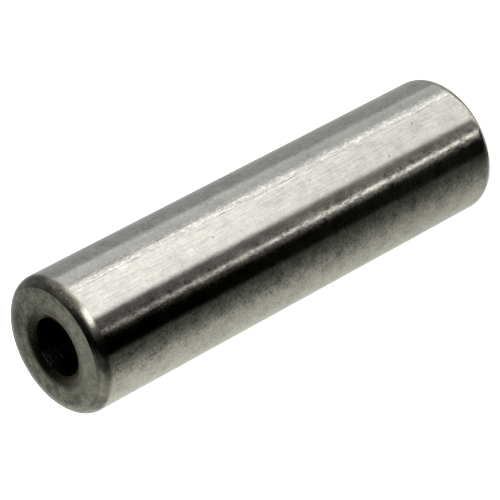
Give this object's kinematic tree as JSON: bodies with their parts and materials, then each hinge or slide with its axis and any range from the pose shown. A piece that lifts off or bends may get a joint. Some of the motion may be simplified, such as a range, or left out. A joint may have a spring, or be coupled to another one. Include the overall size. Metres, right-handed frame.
{
  "type": "gudgeon pin",
  "caption": "Ground steel gudgeon pin: a thick-walled cylindrical tube with flat ends, rounded outer chamfers and a countersunk through bore.",
  "frame": {"origin": "centre of the lower end face, on the pin's axis", "axes": "+Z along the pin's axis, from the end it stands on to the end that the picture shows; the pin is round, so X and Y are any two directions square to it"},
  "size_m": [0.011, 0.011, 0.04],
  "materials": {
    "ground_steel": "ground and polished outside, turned on the end faces"
  },
  "bodies": {
    "root": {"gudgeon_pin": "ground_steel"}
  },
  "joints": []
}
